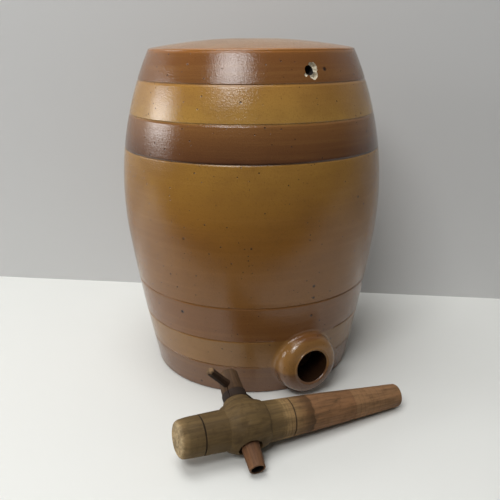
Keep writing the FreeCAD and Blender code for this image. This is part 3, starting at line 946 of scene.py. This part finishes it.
def tap_outline():
    """Outline from the middle of the butt, along the outside to the tip, and back up the waterway."""
    butt_edge = (BUTT_R, BUTT_X + BUTT_ROUND)
    knuckle = (BUTT_R - BUTT_ROUND * 0.2, BUTT_X + BUTT_ROUND * 0.27)
    points = [(0.002, BUTT_X)] + run((0.002, BUTT_X), (BUTT_FACE_R, BUTT_X), TAP_STEP)
    points += through((BUTT_FACE_R, BUTT_X), knuckle, butt_edge, 8)[1:]
    points += tap_stretch(butt_edge, (NECK_R, -SWELL_FOOT_X))
    points += run(points[-1], (BUTT_STEP_R, -SWELL_HALF), TAP_STEP)
    points += through((BUTT_STEP_R, -SWELL_HALF), SWELL_CREST, (TIP_STEP_R, SWELL_HALF), 44)[1:]
    points += run(points[-1], (SHANK_R, SWELL_FOOT_X), TAP_STEP)
    points += tap_stretch((SHANK_R, SWELL_FOOT_X), (SEAT_R, SEAT_X))
    points += tap_stretch((SEAT_R, SEAT_X), (TIP_R, TIP_X - TIP_EASE))
    points += [(TIP_R - TIP_EASE * 0.3, TIP_X - TIP_EASE * 0.3), (TIP_R - TIP_EASE, TIP_X)]
    points += run(points[-1], (WATERWAY_R + 0.0003, TIP_X), TAP_STEP)
    points += [(WATERWAY_R, TIP_X - 0.0004), (WATERWAY_R, 0.13), (WATERWAY_R, 0.07)]
    points += [(WATERWAY_R, WATERWAY_START_X), (INLET_R, WATERWAY_START_X), (INLET_R, 0.003)]
    return points


def facet_depth(angle, radius, count, phase):
    """How far a flat cut lies under the round, for a run of equal cuts about the axis."""
    pitch = 2 * math.pi / count
    off = (angle + phase) % pitch - pitch / 2
    return radius * (1 - math.cos(pitch / 2) / math.cos(off))


def turned_depth(along, lines):
    """Depth of the turned lines at a place along the wood."""
    return max([0.0] + [depth * (1 - abs(along - line) / width) for line, depth, width in lines])


def wear(place, along):
    """Hollows, raised grain and knocks in old wood at a place, as a depth."""
    hollow = 0.5 + 0.5 * noise.noise(Vector((place.x * 90, place.y * 90, along * 40)))
    ridge = 0.5 + 0.5 * noise.noise(Vector((place.x * 620, place.y * 620, along * 26)))
    knock = max(0.0, noise.noise(Vector((place.x * 130, place.y * 130, along * 130))) - 0.3)
    return HOLLOWS * hollow + RAISED_GRAIN * ridge + KNOCKS * knock


def carve_tap(piece):
    """Cut the turned lines and the knife facets of the swelling, and leave the marks of use."""
    for vertex in piece.data.vertices:
        place = vertex.co.copy()
        along = place.z
        around = math.hypot(place.x, place.y)
        if around < WATERWAY_R + 0.0006 and along > BUTT_X + 0.001:
            continue
        angle = math.atan2(place.y, place.x)
        if along < BUTT_X + 0.0001:
            bruise = 0.5 + 0.5 * noise.noise(place * 210)
            crumb = max(0.0, noise.noise(place * 520))
            vertex.co.z += 0.0008 * bruise * ease(around, 0.002, 0.012) + 0.0007 * crumb
        sunk = wear(place, along) + turned_depth(along, TAP_LINES)
        mallet = ease(-along, 0.050, 0.0632)
        sunk += mallet * 0.0011 * (0.5 + 0.5 * noise.noise(place * 190))
        swelling = ease(SWELL_HALF - abs(along), -0.001, 0.0025)
        if swelling > 0:
            phase = 0.0 if along < -0.006 else 0.21 if along < 0.007 else 0.09
            knife = 0.55 + 0.45 * noise.noise(Vector((angle * 2.2, phase * 30, 1.5)))
            sunk += swelling * knife * facet_depth(angle, around, FACETS, phase)
        if around > WATERWAY_R + 0.0012 and along < TIP_X - 0.0001:
            vertex.co.x *= (around - sunk) / around
            vertex.co.y *= (around - sunk) / around


def taper(name, foot, top, columns, roughness=0.0):
    """Cone frustum on the key's axis between two (radius, height) ends, with an uneven side."""
    cone = turned(name, [foot] + run(foot, top, 0.0016), columns)
    for vertex in cone.data.vertices:
        uneven = 1 - roughness * (0.5 + 0.5 * noise.noise(vertex.co * 260))
        vertex.co.x *= uneven
        vertex.co.y *= uneven
    return cone


def beech_tap(finish):
    """Tap body: turned, carved, collared, bored and countersunk for the key."""
    piece = turned("beech_tap_body", tap_outline(), TAP_COLUMNS)
    carve_tap(piece)
    piece.data.transform(Matrix.Rotation(math.radians(90), 4, "Y"))
    slope = (PLUG_TOP[0] - SPOUT_R) / (PLUG_TOP[1] - SPOUT_Z)
    socket_foot = (SPOUT_R + RUNNING_GAP, SPOUT_Z)
    socket_top = (PLUG_TOP[0] + RUNNING_GAP + slope * 0.002, PLUG_TOP[1] + 0.002)
    parts = (
        ("UNION", taper("collar", COLLAR_FOOT, COLLAR_TOP, 96, 0.035)),
        ("DIFFERENCE", taper("countersink", COUNTERSINK_MOUTH, COUNTERSINK_TOP, 72, 0.06)),
        ("DIFFERENCE", taper("socket", socket_foot, socket_top, 96)),
    )
    for operation, cutter in parts:
        cutter.data.transform(key_turn())
        dress(cutter, finish)
        cut_away(piece, cutter, operation)
    dress(piece, finish)
    smoothed(piece, 32)
    set_down(piece, TAP_PLACE, "tap", "tap_body")


def key_outline():
    """Outline of the key from the top of its bore, down and out of the spout, and up to the head."""
    points = [(0.002, SPOUT_BORE_TOP_Z), (SPOUT_BORE_R, SPOUT_BORE_TOP_Z)]
    points += run(points[-1], (SPOUT_BORE_R, SPOUT_Z + 0.0003), 0.004)
    points += [(SPOUT_BORE_R + 0.0003, SPOUT_Z), (SPOUT_R - 0.0003, SPOUT_Z), (SPOUT_R, SPOUT_Z + 0.0003)]
    points += run(points[-1], PLUG_TOP, 0.0012)
    points += run(points[-1], (BAND_R, BAND_FOOT), 0.0005)
    points += run(points[-1], (BAND_R, BAND_HEAD), 0.0006)
    points += run(points[-1], HEAD_FOOT, 0.0005)
    points += run(points[-1], (HEAD_TOP_R, HEAD_TOP_Z - HEAD_ROUND), 0.0008)
    middle = (HEAD_TOP_R - HEAD_ROUND * 0.3, HEAD_TOP_Z - HEAD_ROUND * 0.3)
    points += through(points[-1], middle, (HEAD_TOP_R - HEAD_ROUND, HEAD_TOP_Z), 6)[1:]
    return points + run(points[-1], (0.002, HEAD_TOP_Z), 0.0012)


def bored(piece, radius, start_x, end_x, height):
    """Bore a level hole along X into a piece."""
    bpy.ops.object.select_all(action="DESELECT")
    bpy.ops.mesh.primitive_cylinder_add(
        vertices=56, radius=radius, depth=end_x - start_x, location=((start_x + end_x) / 2, 0, height),
        rotation=(0, math.radians(90), 0),
    )
    drill = bpy.context.object
    bpy.ops.object.transform_apply(location=True, rotation=True)
    cut_away(piece, drill)


def split(piece):
    """Open the crack that runs down from the peg hole through the band."""
    bpy.ops.object.select_all(action="DESELECT")
    bpy.ops.mesh.primitive_cube_add(size=2.0)
    wedge = bpy.context.object
    in_edit_mode(wedge)
    bpy.ops.mesh.select_all(action="SELECT")
    bpy.ops.mesh.subdivide(number_cuts=11)
    bpy.ops.object.mode_set(mode="OBJECT")
    for vertex in wedge.data.vertices:
        share = (vertex.co.z + 1) / 2
        half = SPLIT_TIP + (SPLIT_MOUTH - SPLIT_TIP) * share
        height = SPLIT_FOOT_Z + (SPLIT_TOP_Z - SPLIT_FOOT_Z) * share
        wander = 0.00045 * noise.noise(Vector((0, 0, height * 420))) * (1 - share)
        vertex.co.x = SPLIT_ROOT_X + BAND_R * (vertex.co.x + 1) / 2
        vertex.co.y = half * vertex.co.y + wander
        vertex.co.z = height
    cut_away(piece, wedge)


def turned_key(finish):
    """Key: a hollow plug with a port in its side, a dark band, and a worn and split head."""
    piece = turned("turned_key", key_outline(), 112)
    for vertex in piece.data.vertices:
        place = vertex.co.copy()
        around = math.hypot(place.x, place.y)
        if place.z > BAND_FOOT - 0.0006 and around > HEAD_TOP_R * 0.75:
            sunk = wear(place, place.z)
            if place.z > HEAD_FOOT[1]:
                sunk += 0.6 * facet_depth(math.atan2(place.y, place.x), around, 9, 0.4)
            vertex.co.x *= (around - sunk) / around
            vertex.co.y *= (around - sunk) / around
    bored(piece, PORT_R, -BAND_R, 0.0, 0.0)
    bored(piece, PEG_HOLE_R, -2 * BAND_R, 2 * BAND_R, PEG_Z)
    split(piece)
    dress(piece, finish)
    smoothed(piece, 32)
    set_down(piece, KEY_PLACE, "key", "tap_key")


def whittled_peg(finish):
    """Peg that turns the key, whittled flat along its sides outside the head."""
    points = [(0.001, -PEG_LONG), (PEG_R * 0.5, -PEG_LONG), (PEG_R - PEG_EASE, -PEG_LONG)]
    points += [(PEG_R, PEG_EASE - PEG_LONG)]
    points += run(points[-1], (PEG_R, PEG_SHORT - PEG_EASE), 0.001)
    points += [(PEG_R - PEG_EASE, PEG_SHORT), (PEG_R * 0.5, PEG_SHORT), (0.001, PEG_SHORT)]
    piece = turned("whittled_peg", points, 72)
    for vertex in piece.data.vertices:
        place = vertex.co.copy()
        around = math.hypot(place.x, place.y)
        outside_head = ease(abs(place.z), 0.0105, 0.013)
        flat = facet_depth(math.atan2(place.y, place.x), around, PEG_FACETS, 0.3 if place.z < 0 else 0.8)
        sunk = outside_head * (0.9 * flat + 0.8 * wear(place, place.z)) if around > 0.0012 else 0.0
        vertex.co.x *= (around - sunk) / around
        vertex.co.y *= (around - sunk) / around
    dress(piece, finish)
    smoothed(piece, 32)
    place = KEY_PLACE @ Matrix.Translation((0, 0, PEG_Z)) @ Matrix.Rotation(math.radians(90), 4, "Y")
    set_down(piece, place, "key", "tap_handle")


glaze = salt_glaze()
tap_wood = wood(
    "weathered_beech", TAP_PLACE, TAP_STOPS, "X", BUTT_X, TIP_X, paint(58, 44, 27), TAP_LINES,
    (WATERWAY_R, -0.05, 1.0),
)
key_wood = wood(
    "key_wood", KEY_PLACE, KEY_STOPS, "Z", SPOUT_Z, HEAD_TOP_Z, paint(44, 29, 20), (),
    (SPOUT_BORE_R, -1.0, 0.007),
)
peg_wood = wood(
    "peg_wood", KEY_PLACE, PEG_STOPS, "X", -PEG_LONG, PEG_SHORT, paint(34, 24, 16), (),
    (0.0, 0.0, 0.0),
)

stoneware_barrel(glaze, bare_clay())
beech_tap(tap_wood)
turned_key(key_wood)
whittled_peg(peg_wood)


def studio():
    """Pale shelf against a pale wall, both seen from their front only."""
    def plain(name, colour):
        material, build, shader = new_finish(name)
        build.feed(shader.inputs["Base Color"], colour)
        shader.inputs["Roughness"].default_value = 0.5
        front = build.maths("SUBTRACT", 1.0, build.node("ShaderNodeNewGeometry").outputs["Backfacing"])
        build.feed(shader.inputs["Alpha"], front)
        return material

    away = Vector((-math.sin(WALL_YAW), math.cos(WALL_YAW), 0))
    bpy.ops.object.select_all(action="DESELECT")
    bpy.ops.mesh.primitive_plane_add(
        size=1.0, location=away * (WALL_BEHIND - SHELF_DEPTH / 2), rotation=(0, 0, WALL_YAW),
    )
    shelf = bpy.context.object
    shelf.name = "shelf_top"
    shelf.scale = (ROOM_WIDTH, SHELF_DEPTH, 1)
    dress(shelf, plain("shelf_white", paint(222, 223, 219)))
    bpy.ops.mesh.primitive_plane_add(
        size=1.0, location=away * WALL_BEHIND + Vector((0, 0, WALL_HEIGHT / 2)),
        rotation=(math.radians(90), 0, WALL_YAW),
    )
    wall = bpy.context.object
    wall.name = "back_wall"
    wall.scale = (ROOM_WIDTH, WALL_HEIGHT, 1)
    dress(wall, plain("wall_white", paint(196, 196, 195)))


def lamp(name, place, aim, width, tall, watts):
    """A soft lamp that looks at a point."""
    data = bpy.data.lights.new(name, "AREA")
    data.shape = "RECTANGLE"
    data.size = width
    data.size_y = tall
    data.energy = watts
    holder = bpy.data.objects.new(name, data)
    bpy.context.scene.collection.objects.link(holder)
    holder.location = place
    holder.rotation_euler = (Vector(aim) - Vector(place)).to_track_quat("-Z", "Y").to_euler()


def camera():
    """The camera at the photograph's viewing angle."""
    data = bpy.data.cameras.new("camera")
    data.lens = CAMERA_LENS
    data.sensor_width = SENSOR
    holder = bpy.data.objects.new("camera", data)
    bpy.context.scene.collection.objects.link(holder)
    turn = CAMERA_AIM.to_track_quat("-Z", "Y").to_matrix().to_4x4()
    holder.matrix_world = Matrix.Translation(CAMERA_PLACE) @ turn @ Matrix.Rotation(CAMERA_ROLL, 4, "Z")
    bpy.context.scene.camera = holder


def air(strength):
    """Even, slightly warm light from all round."""
    world = bpy.data.worlds.new("air")
    bpy.context.scene.world = world
    world.use_nodes = True
    background = world.node_tree.nodes["Background"]
    background.inputs["Color"].default_value = (1.0, 0.98, 0.95, 1.0)
    build = Finish(world.node_tree)
    seen = build.node("ShaderNodeLightPath").outputs["Is Camera Ray"]
    build.feed(background.inputs["Strength"], build.between(seen, 0.0, 1.0, strength, BACKDROP))


studio()
for settings in LAMPS:
    lamp(*settings)
camera()
air(AIR_STRENGTH)
bpy.context.scene.view_settings.view_transform = "Standard"
